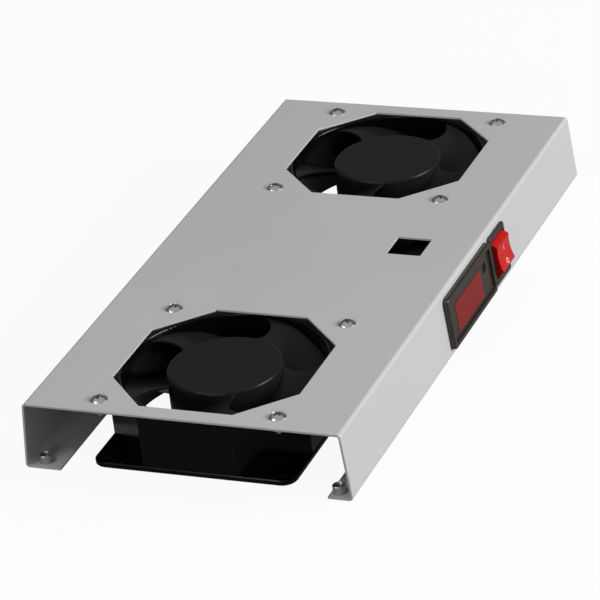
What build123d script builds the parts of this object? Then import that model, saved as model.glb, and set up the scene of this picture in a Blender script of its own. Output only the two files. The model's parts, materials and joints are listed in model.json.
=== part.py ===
from build123d import *
from math import cos, radians, sin, sqrt, tan
import os

# Cabinet fan module: a folded steel tray that carries two 119 mm mains fans, a panel thermostat
# and a lit rocker switch. Millimetres, +Z up. The origin is the middle of the four threaded
# bushes, on the underside of the lips. +X is the side with the thermostat, -Y the near end.

# Fans, both of one standard size
FAN_SIZE = 119.0
FAN_DEPTH = 38.0
FAN_HOLE_INSET = 7.1
FAN_HOLE = 4.5
FAN_CORNER = 8.0
FAN_FLANGE = 3.2
THROAT_WALL = 2.3
FLANGE_STEP = 0.5
CORNER_WALL_REACH = 2.0
INLET_ROUND = 1.7
BASE_RADIUS = 32.0
BASE_THICKNESS = 3.5
STRUT_WIDTH = 4.0
STRUT_HEIGHT = 4.5
LEAD_STRUT_WIDTH = 9.0

# Impeller
HUB_RADIUS = 32.5
HUB_WALL = 3.0
HUB_FACE = 2.5
HUB_RECESS = 1.0
HUB_ROUND = 2.0
SKIRT_GAP = 1.0
DIMPLE_RADIUS = 1.6
BLADE_COUNT = 5
BLADE_TIP_GAP = 1.0
BLADE_WRAP = 56.0
BLADE_DROP = 1.4
BLADE_HEIGHT = 26.5
BLADE_THICKNESS = 2.0
BLADE_EDGE = 0.7
BLADE_CAMBER = 0.09
LEAD_REACH = 11.0
LEAD_SCOOP_RADIUS = 14.0
LEAD_SCOOP_MIDDLE = 42.5

# Motor inside the hub
SHAFT_RADIUS = 1.5
RUNNING_GAP = 0.03
BEARING_RADIUS = 4.0
BEARING_WIDTH = 4.0
BEARING_SHOULDER = 0.6
BEARING_TUBE_WALL = 2.5
BEARING_TUBE_TOP = 26.5
CAP_RADIUS = 5.5
CAP_THICKNESS = 1.2
CLIP_THICKNESS = 0.6
CLIP_RADIUS = 3.0
CLIP_GROOVE = 0.3
BOSS_WALL = 2.6
ROTOR_RING_WALL = 4.6
AIR_GAP = 0.6
ROTOR_RING_HEIGHT = 16.0
STACK_HEIGHT = 13.0
STACK_BASE = 9.0
POLE_COUNT = 4
POLE_WIDTH = 10.0
POLE_SHOE = 4.0
POLE_SLOT = 5.0
YOKE_WALL = 5.5
COIL_BUILD = 3.0
COIL_MARGIN = 0.6

# Fan terminals, in one corner of each frame
TAB_WIDTH = 2.8
TAB_THICKNESS = 0.5
TAB_LENGTH = 9.0
TAB_SPACING = 9.0
TAB_HOUSING = (9.0, 18.0, 9.0)

# Tray
SHEET = 1.2
FAN_FLOOR_GAP = 0.8
TRAY_LENGTH = 390.0
TRAY_WIDTH = 186.0
TRAY_HEIGHT = FAN_DEPTH + SHEET + FAN_FLOOR_GAP
FLANGE_LEAN = 5.0
BEND_RADIUS = 1.0
LEFT_LIP = 20.5
RIGHT_LIP = 14.0
FAN_INSET = 65.5
OCTAGON_INSET = 4.0
OCTAGON_CORNER = 28.0
VENT_SIZE = 21.0
VENT_X = 55.0
VENT_Y = 17.0

# Threaded bushes at the lip ends
BUSH_INSET_X = 6.5
BUSH_INSET_Y = 5.5
BUSH_RADIUS = 3.5
BUSH_SPIGOT = 2.8
BUSH_BORE = 2.1
BUSH_HEIGHT = 5.0

# Fan screws and nuts
SCREW_RADIUS = 2.0
SCREW_LENGTH = 10.0
SCREW_HEAD_RADIUS = 5.2
SCREW_HEAD_HEIGHT = 2.5
RECESS_WIDTH = 1.1
RECESS_SPAN = 4.8
RECESS_DEPTH = 1.5
NUT_FLATS = 7.0
NUT_HEIGHT = 3.2

# Panel thermostat, a standard 74 x 32 size
BEZEL_OVERLAP = 1.8
BEZEL_DEPTH = 3.2
BEZEL_CORNER = 3.0
BEZEL_RIM = 3.2
BEZEL_RECESS = 1.3
CASE_WIDTH = 70.4
CASE_HEIGHT = 28.4
CASE_DEPTH = 56.0
CASE_WALL = 1.5
CUTOUT_GAP = 0.3
THERMOSTAT_Y = 1.0
WINDOW_HEIGHT = 17.5
WINDOW_INSET = 12.0
WINDOW_END_INSET = 19.0
WINDOW_V = -1.5
WINDOW_PROUD = 0.2
DISPLAY_MARGIN = 1.0
KEY_SIZE = 5.0
KEY_INSET = 12.5
KEY_V = 5.0
KEY_GAP = 0.2
KEY_SINK = 0.3
KEY_TRAVEL = 0.5
KEY_LEDGE = 0.8
KEY_LEDGE_THICKNESS = 0.5
TACT_SIZE = 6.0
BOARD_THICKNESS = 1.6
DISPLAY_DEPTH = 4.2
SLOT_COUNT = 5
SLOT_PITCH = 4.0
SLOT_WIDTH = 1.4
SLOT_LENGTH = 20.0
RELAY = (16.0, 20.0, 15.0)
RELAY_INSET = 9.7
TRANSFORMER = (26.0, 22.0, 18.0)
TRANSFORMER_INSET = 7.7
WAYS = 8
WAY_PITCH = 7.2
WAY_HEIGHT = 11.0
WAY_DEPTH = 10.0
WAY_ENTRY = 4.2
CLAMP_SCREW_RADIUS = 1.6
CLAMP_SCREW_DEPTH = 3.5
CLIP_WIDTH = 3.0
CLIP_HEIGHT = 12.0
CLIP_LENGTH = 20.0

# Rocker switch, a standard 31 x 25.4 size
PANEL_GAP = 2.3
SWITCH_BEZEL_WIDTH = 25.4
SWITCH_BEZEL_HEIGHT = 31.0
SWITCH_BEZEL_DEPTH = 1.8
SWITCH_BEZEL_CORNER = 2.0
SWITCH_BODY_WIDTH = 21.8
SWITCH_BODY_HEIGHT = 27.8
SWITCH_BODY_DEPTH = 22.0
SWITCH_SIDE_WALL = 0.6
SWITCH_END_WALL = 2.0
SWITCH_FLOOR = 2.0
SWITCH_CUTOUT_GAP = 0.1
ROCKER_GAP = 0.3
ROCKER_PIVOT_DEPTH = 3.0
ROCKER_FACE_HALF = 7.6
ROCKER_VALLEY = 1.1
ROCKER_ROUND = 0.5
ROCKER_SKIN = 1.6
ROCKER_TILT = 5.0
TRUNNION_RADIUS = 1.5
TRUNNION_GAP = 0.05
TRUNNION_REACH = 0.5
PLUNGER_RADIUS = 1.4
PLUNGER_REACH = 6.4
POLE_OFFSET = 6.2
LEVER_WIDTH = 3.0
LEVER_LENGTH = 18.0
LEVER_THICKNESS = 0.8
LEVER_GAP = 0.4
SWITCH_TAB_WIDTH = 6.3
SWITCH_TAB_THICKNESS = 0.8
SWITCH_TAB_LENGTH = 9.0
END_TAB_OFFSET = 8.0
END_TAB_GAP = 0.6
LAMP_RADIUS = 2.0
LAMP_LENGTH = 7.0
LAMP_LEAD = 0.4

# Supply terminal strip and earth stud, on the inside of the left flange
STRIP_POLES = 3
STRIP_PITCH = 14.0
STRIP_TOWER = 8.0
STRIP_HEIGHT = 14.0
STRIP_DEPTH = 14.0
STRIP_WEB = 5.0
STRIP_CLAMP_RADIUS = 2.6
STRIP_CLAMP_BORE = 1.7
STRIP_CLAMP_DEPTH = 6.0
STRIP_STUD_RADIUS = 1.5
STRIP_STUD_LENGTH = 9.0
STRIP_NUT_FLATS = 5.5
STRIP_NUT_HEIGHT = 2.4
EARTH_Y = 45.0
EARTH_STUD_RADIUS = 2.0
EARTH_STUD_LENGTH = 12.0
EARTH_WASHER_RADIUS = 4.5
EARTH_WASHER_THICKNESS = 0.8

# Places worked out from the sizes above
FAN_FLOOR = TRAY_HEIGHT - SHEET - FAN_DEPTH
FAN_CENTRES = {"near": FAN_INSET - TRAY_LENGTH / 2, "far": TRAY_LENGTH / 2 - FAN_INSET}
FAN_TURN = {"near": 0.0, "far": -90.0}
BLADE_TURN = {"near": 7.0, "far": -10.0}
FAN_HOLE_PITCH = FAN_SIZE - 2 * FAN_HOLE_INSET
THROAT_RADIUS = FAN_SIZE / 2 - THROAT_WALL
CORNER_WALL_RADIUS = FAN_SIZE / 2 + CORNER_WALL_REACH
WALL_SIZE = FAN_SIZE - 2 * FLANGE_STEP
WALL_CORNER_CUT = WALL_SIZE - CORNER_WALL_RADIUS * sqrt(2)
OCTAGON = FAN_SIZE - 2 * OCTAGON_INSET
LEAN = radians(FLANGE_LEAN)
FLANGE_SPREAD = (TRAY_HEIGHT - SHEET) * tan(LEAN)
PANEL_X = (TRAY_WIDTH - SHEET + FLANGE_SPREAD) / 2
PANEL_Z = TRAY_HEIGHT / 2
BEZEL_WIDTH = CASE_WIDTH + 2 * BEZEL_OVERLAP
BEZEL_HEIGHT = CASE_HEIGHT + 2 * BEZEL_OVERLAP
WINDOW_WIDTH = BEZEL_WIDTH - WINDOW_INSET - WINDOW_END_INSET
WINDOW_U = (WINDOW_WIDTH - BEZEL_WIDTH) / 2 + WINDOW_INSET
KEY_U = BEZEL_WIDTH / 2 - KEY_INSET
SWITCH_Y = THERMOSTAT_Y + (BEZEL_WIDTH + SWITCH_BEZEL_WIDTH) / 2 + PANEL_GAP
BEARING_TUBE_RADIUS = BEARING_RADIUS + BEARING_TUBE_WALL
HUB_TOP = FAN_DEPTH - HUB_RECESS
HUB_FLOOR = BASE_THICKNESS + SKIRT_GAP
SHAFT_TOP = HUB_TOP - HUB_FACE
BLADE_TIP = THROAT_RADIUS - BLADE_TIP_GAP
RING_RADIUS = HUB_RADIUS - HUB_WALL
STACK_RADIUS = RING_RADIUS - ROTOR_RING_WALL - AIR_GAP
YOKE_RADIUS = BEARING_TUBE_RADIUS + YOKE_WALL
LOWER_BEARING = BASE_THICKNESS + BEARING_SHOULDER
UPPER_BEARING = BEARING_TUBE_TOP - BEARING_WIDTH
CLIP_FLOOR = LOWER_BEARING - RUNNING_GAP - CLIP_THICKNESS
ROCKER_RADIUS = SWITCH_BODY_HEIGHT / 2 - SWITCH_END_WALL - ROCKER_GAP
ROCKER_WIDTH = SWITCH_BODY_WIDTH - 2 * (SWITCH_SIDE_WALL + ROCKER_GAP)
LEVER_FACE = -ROCKER_PIVOT_DEPTH - PLUNGER_REACH - LEVER_GAP
LEVER_PIVOT = LEVER_FACE - LEVER_THICKNESS
FACE_LEVEL = BEZEL_DEPTH - BEZEL_RECESS


def panel(y):
    """Plane on the outside of the right flange: x along the tray, y up the flange, z outwards."""
    middle = Plane(origin=(PANEL_X, y, PANEL_Z), x_dir=(0, 1, 0), z_dir=(cos(LEAN), 0, sin(LEAN)))
    return middle.offset(SHEET / 2)


def left_panel(y):
    """Plane on the inside of the left flange: x along the tray, y up the flange, z inwards."""
    middle = Plane(origin=(-PANEL_X, y, PANEL_Z), x_dir=(0, 1, 0), z_dir=(cos(LEAN), 0, -sin(LEAN)))
    return middle.offset(SHEET / 2)


def block(width, height, low, high, u=0.0, v=0.0):
    """Box centred on (u, v), from low to high along the local z."""
    return Pos(u, v, (low + high) / 2) * Box(width, height, high - low)


def rod(radius, low, high, u=0.0, v=0.0):
    """Round bar centred on (u, v), from low to high along the local z."""
    return Pos(u, v, (low + high) / 2) * Cylinder(radius, high - low)


def ring(outer, inner, low, high):
    return rod(outer, low, high) - rod(inner, low, high)


def hex_nut(flats, height, bore):
    outline = RegularPolygon(flats / 2, 6, major_radius=False, rotation=30)
    return extrude(outline, height) - rod(bore, 0, height)


def group(solids):
    return Compound(children=[solid for shape in solids for solid in shape.solids()])


def fan_frame():
    """Moulded frame: two square flanges, a wall flattened at its corners, and the motor base."""
    outline = RectangleRounded(FAN_SIZE, FAN_SIZE, FAN_CORNER)
    holes = Sketch() + [spot * Circle(FAN_HOLE / 2) for spot in GridLocations(FAN_HOLE_PITCH, FAN_HOLE_PITCH, 2, 2)]
    upper = Pos(0, 0, FAN_DEPTH - FAN_FLANGE)
    frame = extrude(outline - holes, FAN_FLANGE) + upper * extrude(outline, FAN_FLANGE)
    wall = Rectangle(WALL_SIZE, WALL_SIZE)
    frame += extrude(chamfer(wall.vertices(), WALL_CORNER_CUT), FAN_DEPTH)
    frame -= rod(THROAT_RADIUS, 0, FAN_DEPTH)
    inlet = frame.edges().filter_by(GeomType.CIRCLE).group_by(Axis.Z)[-1].sort_by(SortBy.RADIUS)[-1]
    frame = fillet(inlet, INLET_ROUND)
    frame += terminal_housing()
    reach = (THROAT_RADIUS + CORNER_WALL_RADIUS) / 2
    for turn in range(4):
        width = LEAD_STRUT_WIDTH if turn == 0 else STRUT_WIDTH
        strut = Pos(reach / 2, 0, STRUT_HEIGHT / 2) * Box(reach, width, STRUT_HEIGHT)
        frame += Rot(0, 0, 45 + 90 * turn) * strut
    frame -= rod(BASE_RADIUS, BASE_THICKNESS, FAN_DEPTH)
    frame += rod(BASE_RADIUS, 0, BASE_THICKNESS)
    frame += rod(BEARING_TUBE_RADIUS, 0, BEARING_TUBE_TOP)
    frame -= rod(BEARING_RADIUS, LOWER_BEARING, BEARING_TUBE_TOP)
    frame -= rod(CLIP_RADIUS + CLIP_GROOVE, 0, LOWER_BEARING)
    frame -= rod(CAP_RADIUS, 0, CAP_THICKNESS)
    return frame - upper * extrude(holes, FAN_FLANGE)


def terminal_housing():
    """Block on the outside of the wall, in one corner, that holds the two tabs."""
    depth, width, height = TAB_HOUSING
    start = sqrt(THROAT_RADIUS ** 2 - (width / 2) ** 2)
    length = CORNER_WALL_RADIUS + depth - start
    housing = Pos(start + length / 2, 0, FAN_FLANGE + height / 2) * Box(length, width, height)
    return Rot(0, 0, 45) * (housing - rod(THROAT_RADIUS, 0, FAN_DEPTH))


def fan_terminals():
    depth, _, height = TAB_HOUSING
    radius = CORNER_WALL_RADIUS + depth / 2
    foot = FAN_FLANGE + height
    tab = Pos(radius, 0, foot + TAB_LENGTH / 2) * Box(TAB_THICKNESS, TAB_WIDTH, TAB_LENGTH)
    return group(Rot(0, 0, 45) * Pos(0, side * TAB_SPACING / 2, 0) * tab for side in (-1, 1))


def blade_section(distance):
    """Cambered blade section, on a plane square to the blade's middle radius."""
    lead = distance * tan(radians(BLADE_WRAP / 2 + LEAD_REACH))
    trail = -distance * tan(radians(BLADE_WRAP / 2))
    top = HUB_TOP - BLADE_DROP
    chord = Vector(lead - trail, BLADE_HEIGHT)
    normal = Vector(-chord.Y, chord.X).normalized()
    start = Vector(lead, top)
    end = Vector(trail, top - BLADE_HEIGHT)
    crown = (start + end) / 2 + normal * chord.length * BLADE_CAMBER
    edge = normal * BLADE_EDGE / 2
    half = normal * BLADE_THICKNESS / 2
    upper = ThreePointArc(start + edge, crown + half, end + edge)
    lower = ThreePointArc(end - edge, crown - half, start - edge)
    outline = [upper, Line(end + edge, end - edge), lower, Line(start - edge, start + edge)]
    plane = Plane(origin=(distance, 0, 0), x_dir=(0, 1, 0), z_dir=(1, 0, 0))
    return plane * make_face(outline)


def blade():
    """Swept blade with a scooped leading edge, whose middle lies at angle zero."""
    root = RING_RADIUS * cos(radians(BLADE_WRAP / 2 + LEAD_REACH))
    tip = BLADE_TIP + BLADE_THICKNESS
    shape = loft([blade_section(root), blade_section(tip)])
    shape &= rod(BLADE_TIP, 0, FAN_DEPTH)
    shape -= rod(HUB_RADIUS - HUB_WALL / 2, 0, FAN_DEPTH)
    scoop = rod(LEAD_SCOOP_RADIUS, 0, FAN_DEPTH, u=LEAD_SCOOP_MIDDLE, v=LEAD_SCOOP_RADIUS)
    return Rot(0, 0, -BLADE_WRAP / 2) * shape - scoop


def impeller():
    """Hub cup with a rounded rim and a shaft boss, and five swept blades."""
    hub = rod(HUB_RADIUS, HUB_FLOOR, HUB_TOP)
    hub = fillet(hub.edges().group_by(Axis.Z)[-1], HUB_ROUND)
    hub -= rod(RING_RADIUS, HUB_FLOOR, SHAFT_TOP)
    hub += rod(SHAFT_RADIUS + BOSS_WALL, BEARING_TUBE_TOP + SKIRT_GAP, SHAFT_TOP)
    hub -= rod(SHAFT_RADIUS, HUB_FLOOR, SHAFT_TOP)
    hub -= Pos(0, 0, HUB_TOP + DIMPLE_RADIUS / 2) * Sphere(DIMPLE_RADIUS)
    one = blade()
    for turn in range(BLADE_COUNT):
        hub += Rot(0, 0, turn * 360 / BLADE_COUNT) * one
    return hub


def shaft():
    body = rod(SHAFT_RADIUS, CLIP_FLOOR - CLIP_THICKNESS, SHAFT_TOP)
    groove = ring(SHAFT_RADIUS, SHAFT_RADIUS - CLIP_GROOVE, CLIP_FLOOR, CLIP_FLOOR + CLIP_THICKNESS)
    return body - groove


def shaft_clip():
    """Spring clip in the shaft's groove, open on one side."""
    top = CLIP_FLOOR + CLIP_THICKNESS
    clip = ring(CLIP_RADIUS, SHAFT_RADIUS - CLIP_GROOVE, CLIP_FLOOR, top)
    return clip - block(CLIP_RADIUS, SHAFT_RADIUS, CLIP_FLOOR, top, u=CLIP_RADIUS / 2 + SHAFT_RADIUS)


def bearing(floor):
    return ring(BEARING_RADIUS, SHAFT_RADIUS + RUNNING_GAP, floor, floor + BEARING_WIDTH)


def rotor_ring():
    inner = RING_RADIUS - ROTOR_RING_WALL
    floor = STACK_BASE - (ROTOR_RING_HEIGHT - STACK_HEIGHT) / 2
    return ring(RING_RADIUS, inner, floor, floor + ROTOR_RING_HEIGHT)


def stator_core():
    """Laminated stack: a yoke on the bearing tube and four poles with wide shoes."""
    outline = Circle(STACK_RADIUS) - Circle(STACK_RADIUS - POLE_SHOE)
    for turn in range(POLE_COUNT):
        slot = Pos(STACK_RADIUS, 0) * Rectangle(3 * POLE_SHOE, POLE_SLOT)
        outline -= Rot(0, 0, (turn + 0.5) * 360 / POLE_COUNT) * slot
    for turn in range(POLE_COUNT):
        reach = STACK_RADIUS - POLE_SHOE / 2
        outline += Rot(0, 0, turn * 360 / POLE_COUNT) * Pos(reach / 2, 0) * Rectangle(reach, POLE_WIDTH)
    outline += Circle(YOKE_RADIUS)
    outline -= Circle(BEARING_TUBE_RADIUS)
    return Pos(0, 0, STACK_BASE) * extrude(outline, STACK_HEIGHT)


def stator_coils():
    """One flat coil round each pole."""
    width = POLE_WIDTH + 2 * COIL_BUILD
    start = YOKE_RADIUS + COIL_MARGIN
    end = sqrt((STACK_RADIUS - POLE_SHOE) ** 2 - (width / 2) ** 2) - COIL_MARGIN
    coil = Box(end - start, width, STACK_HEIGHT + 2 * COIL_BUILD)
    coil -= Box(end - start, POLE_WIDTH, STACK_HEIGHT)
    coil = Pos((start + end) / 2, 0, STACK_BASE + STACK_HEIGHT / 2) * coil
    return group(Rot(0, 0, turn * 360 / POLE_COUNT) * coil for turn in range(POLE_COUNT))


def fan_screw():
    """Truss-head screw with a cross recess; the head's seat is at zero."""
    rise = SCREW_HEAD_HEIGHT
    crown = (SCREW_HEAD_RADIUS ** 2 + rise ** 2) / (2 * rise)
    head = Pos(0, 0, rise - crown) * Sphere(crown)
    head &= rod(SCREW_HEAD_RADIUS, 0, rise)
    arms = block(RECESS_SPAN, RECESS_WIDTH, rise - RECESS_DEPTH, rise)
    head -= arms + Rot(0, 0, 90) * arms
    return head + rod(SCREW_RADIUS, -SCREW_LENGTH, 0)


def at_fan_holes(shape, level):
    spots = GridLocations(FAN_HOLE_PITCH, FAN_HOLE_PITCH, 2, 2)
    return [spot * Pos(0, 0, level) * shape for spot in spots]


def tray():
    """Folded sheet tray with both fan openings, the vent and the cut-outs of the right flange."""
    reach = (TRAY_WIDTH - SHEET) / 2
    low = SHEET / 2
    high = TRAY_HEIGHT - SHEET / 2
    foot = reach + FLANGE_SPREAD
    fold = FilletPolyline(
        (LEFT_LIP - foot, low),
        (-foot, low),
        (-reach, high),
        (reach, high),
        (foot, low),
        (foot - RIGHT_LIP, low),
        radius=BEND_RADIUS + SHEET / 2,
    )
    body = extrude(Plane.XZ * trace(fold, SHEET), TRAY_LENGTH / 2, both=True)
    opening = Rectangle(OCTAGON, OCTAGON)
    opening = chamfer(opening.vertices(), OCTAGON_CORNER)
    cutter = extrude(opening, SHEET)
    cutter += at_fan_holes(rod(FAN_HOLE / 2, 0, SHEET), 0)
    for centre in FAN_CENTRES.values():
        body -= Pos(0, centre, TRAY_HEIGHT - SHEET) * cutter
    body -= block(VENT_SIZE, VENT_SIZE, TRAY_HEIGHT - SHEET, TRAY_HEIGHT, u=VENT_X, v=VENT_Y)
    gap = 2 * CUTOUT_GAP
    body -= panel(THERMOSTAT_Y) * block(CASE_WIDTH + gap, CASE_HEIGHT + gap, -2 * SHEET, SHEET)
    gap = 2 * SWITCH_CUTOUT_GAP
    cutout = block(SWITCH_BODY_WIDTH + gap, SWITCH_BODY_HEIGHT + gap, -2 * SHEET, SHEET)
    body -= panel(SWITCH_Y) * cutout
    body -= [spot * rod(BUSH_SPIGOT, 0, SHEET) for spot in bush_spots()]
    return body


def bush_spots():
    pitch_x = TRAY_WIDTH - 2 * BUSH_INSET_X
    pitch_y = TRAY_LENGTH - 2 * BUSH_INSET_Y
    return GridLocations(pitch_x, pitch_y, 2, 2)


def threaded_bushes():
    """Bush with a shoulder on the lip and a spigot pressed through it, flush below."""
    bush = rod(BUSH_SPIGOT, 0, SHEET) + rod(BUSH_RADIUS, SHEET, SHEET + BUSH_HEIGHT)
    bush -= rod(BUSH_BORE, 0, SHEET + BUSH_HEIGHT)
    return group(spot * bush for spot in bush_spots())


def thermostat_bezel():
    """Front frame with a raised rim, and a recessed face with the window and key openings."""
    bezel = extrude(RectangleRounded(BEZEL_WIDTH, BEZEL_HEIGHT, BEZEL_CORNER), BEZEL_DEPTH)
    bezel = chamfer(bezel.faces().sort_by(Axis.Z)[-1].edges(), BEZEL_RIM / 4)
    face = RectangleRounded(BEZEL_WIDTH - 2 * BEZEL_RIM, BEZEL_HEIGHT - 2 * BEZEL_RIM, BEZEL_CORNER / 2)
    bezel -= Pos(0, 0, FACE_LEVEL) * extrude(face, BEZEL_RECESS)
    bezel -= block(WINDOW_WIDTH, WINDOW_HEIGHT, 0, FACE_LEVEL, u=WINDOW_U, v=WINDOW_V)
    hole = KEY_SIZE + 2 * KEY_GAP
    return bezel - block(hole, hole, 0, FACE_LEVEL, u=KEY_U, v=KEY_V)


def thermostat_window():
    pane = block(WINDOW_WIDTH, WINDOW_HEIGHT, 0, FACE_LEVEL + WINDOW_PROUD, u=WINDOW_U, v=WINDOW_V)
    return fillet(pane.faces().sort_by(Axis.Z)[-1].edges(), WINDOW_PROUD / 2)


def thermostat_key():
    """Push key, sunk in its opening; a ledge behind the face keeps it in."""
    ledge_top = -KEY_GAP / 2
    cap = block(KEY_SIZE, KEY_SIZE, ledge_top, FACE_LEVEL - KEY_SINK, u=KEY_U, v=KEY_V)
    cap = fillet(cap.faces().sort_by(Axis.Z)[-1].edges(), KEY_GAP)
    width = KEY_SIZE + 2 * KEY_LEDGE
    return cap + block(width, width, ledge_top - KEY_LEDGE_THICKNESS, ledge_top, u=KEY_U, v=KEY_V)


def display_board_front():
    return -DISPLAY_DEPTH - KEY_GAP


def thermostat_case():
    """Open-fronted case with vent slots in its top."""
    case = block(CASE_WIDTH, CASE_HEIGHT, -CASE_DEPTH, 0)
    case -= block(CASE_WIDTH - 2 * CASE_WALL, CASE_HEIGHT - 2 * CASE_WALL, CASE_WALL - CASE_DEPTH, 0)
    depth = (VENT_X - PANEL_X) / cos(LEAN)
    for row in range(SLOT_COUNT):
        u = VENT_Y - THERMOSTAT_Y + (row - (SLOT_COUNT - 1) / 2) * SLOT_PITCH
        v = (CASE_HEIGHT - CASE_WALL) / 2
        case -= Pos(u, v, depth) * Box(SLOT_WIDTH, CASE_WALL, SLOT_LENGTH)
    return case


def board_width():
    return CASE_WIDTH - 2 * CASE_WALL


def display_board():
    width = board_width()
    height = CASE_HEIGHT - 2 * CASE_WALL
    front = display_board_front()
    return block(width, height, front - BOARD_THICKNESS, front)


def main_board_top():
    return -CASE_HEIGHT / 2 + CASE_WALL + 2 * BOARD_THICKNESS


def main_board():
    width = board_width()
    back = CASE_WALL - CASE_DEPTH
    front = display_board_front() - BOARD_THICKNESS
    return block(width, BOARD_THICKNESS, back, front, v=main_board_top() - BOARD_THICKNESS / 2)


def on_main_board(size, u):
    width, depth, height = size
    middle = -CASE_DEPTH / 2
    return block(width, height, middle - depth / 2, middle + depth / 2, u=u, v=main_board_top() + height / 2)


def relay():
    u = (RELAY[0] - board_width()) / 2 + RELAY_INSET
    return on_main_board(RELAY, u)


def transformer():
    u = (board_width() - TRANSFORMER[0]) / 2 - TRANSFORMER_INSET
    return on_main_board(TRANSFORMER, u)


def display_module():
    width = WINDOW_WIDTH - 2 * DISPLAY_MARGIN
    height = WINDOW_HEIGHT - 2 * DISPLAY_MARGIN
    return block(width, height, display_board_front(), -KEY_GAP, u=WINDOW_U, v=WINDOW_V)


def key_contact():
    top = -KEY_GAP / 2 - KEY_LEDGE_THICKNESS - KEY_TRAVEL - KEY_GAP
    return block(TACT_SIZE, TACT_SIZE, display_board_front(), top, u=KEY_U, v=KEY_V)


def way_places():
    return [(row - (WAYS - 1) / 2) * WAY_PITCH for row in range(WAYS)]


def rear_terminals():
    """Row of screw terminals behind the case: wire entries at the back, screws on top."""
    back = -CASE_DEPTH - WAY_DEPTH
    strip = block(WAYS * WAY_PITCH, WAY_HEIGHT, back, -CASE_DEPTH)
    for u in way_places():
        strip -= block(WAY_ENTRY, WAY_ENTRY, back, back + WAY_DEPTH / 2, u=u, v=-WAY_ENTRY / 2)
        strip -= clamp_screw(u)
    return strip


def clamp_screw(u):
    screw = rod(CLAMP_SCREW_RADIUS, -CLAMP_SCREW_DEPTH, 0)
    return Pos(u, WAY_HEIGHT / 2, -CASE_DEPTH - WAY_DEPTH / 2) * Rot(-90, 0, 0) * screw


def case_clips():
    """Two clips on the case ends, pressed against the inside of the flange."""
    u = (CASE_WIDTH + CLIP_WIDTH) / 2
    clip = block(CLIP_WIDTH, CLIP_HEIGHT, -SHEET - CLIP_LENGTH, -SHEET)
    return group(Pos(side * u, 0, 0) * clip for side in (-1, 1))


def switch_body():
    """Housing with a bezel, open at the front, with trunnion holes in its thin sides."""
    body = extrude(
        RectangleRounded(SWITCH_BEZEL_WIDTH, SWITCH_BEZEL_HEIGHT, SWITCH_BEZEL_CORNER),
        SWITCH_BEZEL_DEPTH,
    )
    body = fillet(body.faces().sort_by(Axis.Z)[-1].edges(), SWITCH_BEZEL_DEPTH / 3)
    body += block(SWITCH_BODY_WIDTH, SWITCH_BODY_HEIGHT, -SWITCH_BODY_DEPTH, 0)
    width = SWITCH_BODY_WIDTH - 2 * SWITCH_SIDE_WALL
    height = SWITCH_BODY_HEIGHT - 2 * SWITCH_END_WALL
    body -= block(width, height, SWITCH_FLOOR - SWITCH_BODY_DEPTH, SWITCH_BEZEL_DEPTH)
    body -= across(TRUNNION_RADIUS + TRUNNION_GAP, SWITCH_BODY_WIDTH)
    for u in (-POLE_OFFSET, POLE_OFFSET):
        for v in (0, -END_TAB_OFFSET):
            body -= switch_tab(u, v, SWITCH_FLOOR - SWITCH_BODY_DEPTH)
    return body


def across(radius, length):
    """Bar along the rocker's axis."""
    return Pos(0, 0, -ROCKER_PIVOT_DEPTH) * Rot(0, 90, 0) * Cylinder(radius, length)


def rocker_outline(radius, tip, valley, back):
    """Round ends about the pivot, a hollow face in front and a flat back, seen along the axis."""
    front = sqrt(radius ** 2 - tip ** 2)
    side = sqrt(radius ** 2 - back ** 2)
    upper = ThreePointArc((back, side), (0, radius), (front, tip))
    lower = ThreePointArc((front, -tip), (0, -radius), (back, -side))
    face = ThreePointArc((front, tip), (front - valley, 0), (front, -tip))
    return make_face([upper, face, lower, Line((back, -side), (back, side))])


def rocker():
    """Red rocker: a shell with round ends, open behind, on two trunnions."""
    across_rocker = Plane(origin=(0, 0, -ROCKER_PIVOT_DEPTH), x_dir=(0, 0, 1), z_dir=(-1, 0, 0))
    back = -ROCKER_PIVOT_DEPTH
    outer = rocker_outline(ROCKER_RADIUS, ROCKER_FACE_HALF, ROCKER_VALLEY, back)
    shape = extrude(across_rocker * outer, ROCKER_WIDTH / 2, both=True)
    shape = fillet(shape.edges().filter_by_position(Axis.Z, back, ROCKER_RADIUS), ROCKER_ROUND)
    inner = rocker_outline(ROCKER_RADIUS - ROCKER_SKIN, ROCKER_FACE_HALF - ROCKER_SKIN, ROCKER_VALLEY, back)
    shape -= extrude(across_rocker * inner, ROCKER_WIDTH / 2 - ROCKER_SKIN, both=True)
    return shape + trunnions()


def trunnions():
    start = ROCKER_WIDTH / 2 - ROCKER_SKIN
    end = ROCKER_WIDTH / 2 + ROCKER_GAP + TRUNNION_REACH
    pin = Pos((start + end) / 2, 0, -ROCKER_PIVOT_DEPTH) * Rot(0, 90, 0)
    pin = pin * Cylinder(TRUNNION_RADIUS, end - start)
    return pin + mirror(pin, Plane.YZ)


def plungers():
    """Two plungers in the rocker, one over each contact lever."""
    inside = sqrt((ROCKER_RADIUS - ROCKER_SKIN) ** 2 - (ROCKER_FACE_HALF - ROCKER_SKIN) ** 2)
    top = inside - ROCKER_VALLEY - ROCKER_PIVOT_DEPTH
    tip = -ROCKER_PIVOT_DEPTH - PLUNGER_REACH
    post = fillet(rod(PLUNGER_RADIUS, tip, top).edges().group_by(Axis.Z)[0], PLUNGER_RADIUS / 2)
    return group(Pos(side * POLE_OFFSET, 0, 0) * post for side in (-1, 1))


def contact_levers():
    lever = block(LEVER_WIDTH, LEVER_LENGTH, LEVER_FACE - LEVER_THICKNESS, LEVER_FACE)
    return group(Pos(side * POLE_OFFSET, 0, 0) * lever for side in (-1, 1))


def switch_tab(u, v, top):
    back = -SWITCH_BODY_DEPTH - SWITCH_TAB_LENGTH
    return block(SWITCH_TAB_WIDTH, SWITCH_TAB_THICKNESS, back, top, u=u, v=v)


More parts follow.
